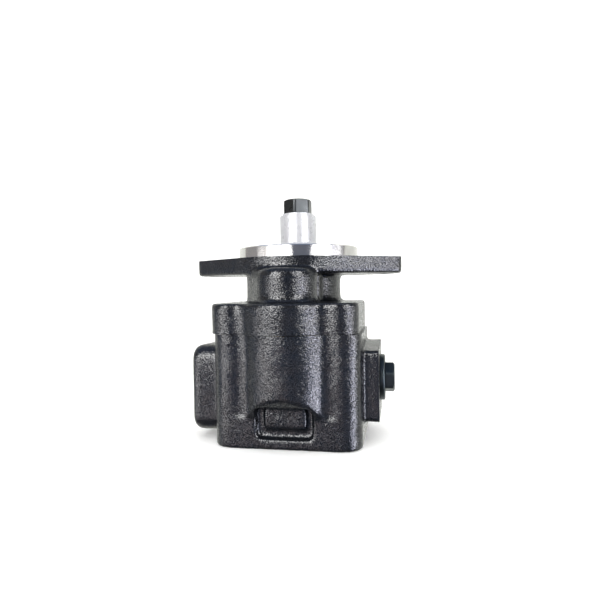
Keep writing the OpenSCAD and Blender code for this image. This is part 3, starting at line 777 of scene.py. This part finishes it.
FALLING = [(-180, PALE), (-138, PALE), (-130, DIM), (-80, DIM), (-62, (0.18, 0.165, 0.165)),
           (-30, (0.10, 0.09, 0.094)), (-14, (0.14, 0.12, 0.125)), (2, (0.06, 0.055, 0.063)),
           (54, DIM), (64, (0.80, 0.82, 1.0)), (92, (0.88, 0.90, 1.0)), (102, (0.20, 0.20, 0.22)),
           (112, DIM), (130, (0.16, 0.165, 0.19)), (142, PALE), (180, PALE)]


def band_colour(n, azimuth_part, band):
    """Colour of one band of reflections at an azimuth given as 0 to 1 for -180 to 180 degrees."""
    return n.ramp(azimuth_part, [((azimuth + 180) / 360, colour) for azimuth, colour in band])


def studio_world():
    """Even pale light, white behind the scene for the camera, and soft bands for reflections."""
    world = bpy.data.worlds.new("studio")
    bpy.context.scene.world = world
    n = Nodes(world, "Generated")
    x, y, z = n.add("ShaderNodeSeparateXYZ", Vector=n.place).outputs
    azimuth = n.math("ARCTAN2", x, n.math("MULTIPLY", y, -1.0))
    azimuth_part = n.math("ADD", n.math("DIVIDE", azimuth, 2 * math.pi), 0.5)
    rising, level, falling = (band_colour(n, azimuth_part, band)
                              for band in (RISING, LEVEL, FALLING))
    # Height runs from 0 straight down through 0.5 on the level to 1 straight up.
    height = n.math("DIVIDE", n.math("ADD", z, 1.0), 2.0)
    above_steep = n.ramp(height, [(0.27, 0.0), (0.31, 1.0)])
    above_falling = n.ramp(height, [(0.38, 0.0), (0.45, 1.0)])
    above_level = n.ramp(height, [(0.495, 0.0), (0.52, 1.0)])
    above_rising = n.ramp(height, [(0.78, 0.0), (0.84, 1.0)])
    bands = n.mix(above_steep, BLACK, falling)
    bands = n.mix(above_falling, bands, level)
    bands = n.mix(above_level, bands, n.mix(above_rising, rising, DIM))
    paths = n.add("ShaderNodeLightPath").outputs
    mirrored = n.add("ShaderNodeBackground", Color=bands, Strength=BRIGHTEST).outputs[0]
    lit = n.add("ShaderNodeBackground", Color=rgba((0.93, 0.96, 1.0)), Strength=0.35).outputs[0]
    seen = n.add("ShaderNodeBackground", Color=rgba((1.0, 1.0, 0.995)), Strength=1.0).outputs[0]
    unseen = n.mix_shader(paths["Is Glossy Ray"], lit, mirrored)
    final = n.mix_shader(paths["Is Camera Ray"], unseen, seen)
    n.feed(n.tree.nodes["World Output"].inputs["Surface"], final)


curved_backdrop()
area_light("overhead", place=(0, -0.3, 1.2), size=(1.8, 1.6), power=16)
area_light("front_fill", place=(0.1, -1.5, 0.5), size=(1.6, 1.2), power=10)
studio_world()
bpy.context.scene.view_settings.view_transform = "Standard"

# ---- camera ----
AZIMUTH, PAN, PITCH, ROLL = (math.radians(v) for v in (10.8, -0.09, 1.2, -0.84))
DISTANCE, HEIGHT = 0.450, -0.0255
FOCAL_PX, FRAME_PX = 520, 600
SENSOR_MM = 36


def add_camera():
    """Camera in front of the pump and to its right, turned by the angles above."""
    yaw = AZIMUTH + PAN
    forward = Vector((-math.sin(yaw) * math.cos(PITCH),
                      math.cos(yaw) * math.cos(PITCH),
                      -math.sin(PITCH)))
    right = Vector((math.cos(yaw), math.sin(yaw), 0))
    up = right.cross(forward)
    x_axis = math.cos(ROLL) * right + math.sin(ROLL) * up
    y_axis = math.cos(ROLL) * up - math.sin(ROLL) * right
    data = bpy.data.cameras.new("camera")
    data.sensor_width = SENSOR_MM
    data.lens = SENSOR_MM * FOCAL_PX / FRAME_PX
    data.clip_start, data.clip_end = 0.01, 20
    camera = add_object("camera", data)
    place = (DISTANCE * math.sin(AZIMUTH), -DISTANCE * math.cos(AZIMUTH), HEIGHT)
    turn = Matrix((x_axis, y_axis, -forward)).transposed().to_4x4()
    camera.matrix_world = Matrix.Translation(place) @ turn
    bpy.context.scene.camera = camera


add_camera()
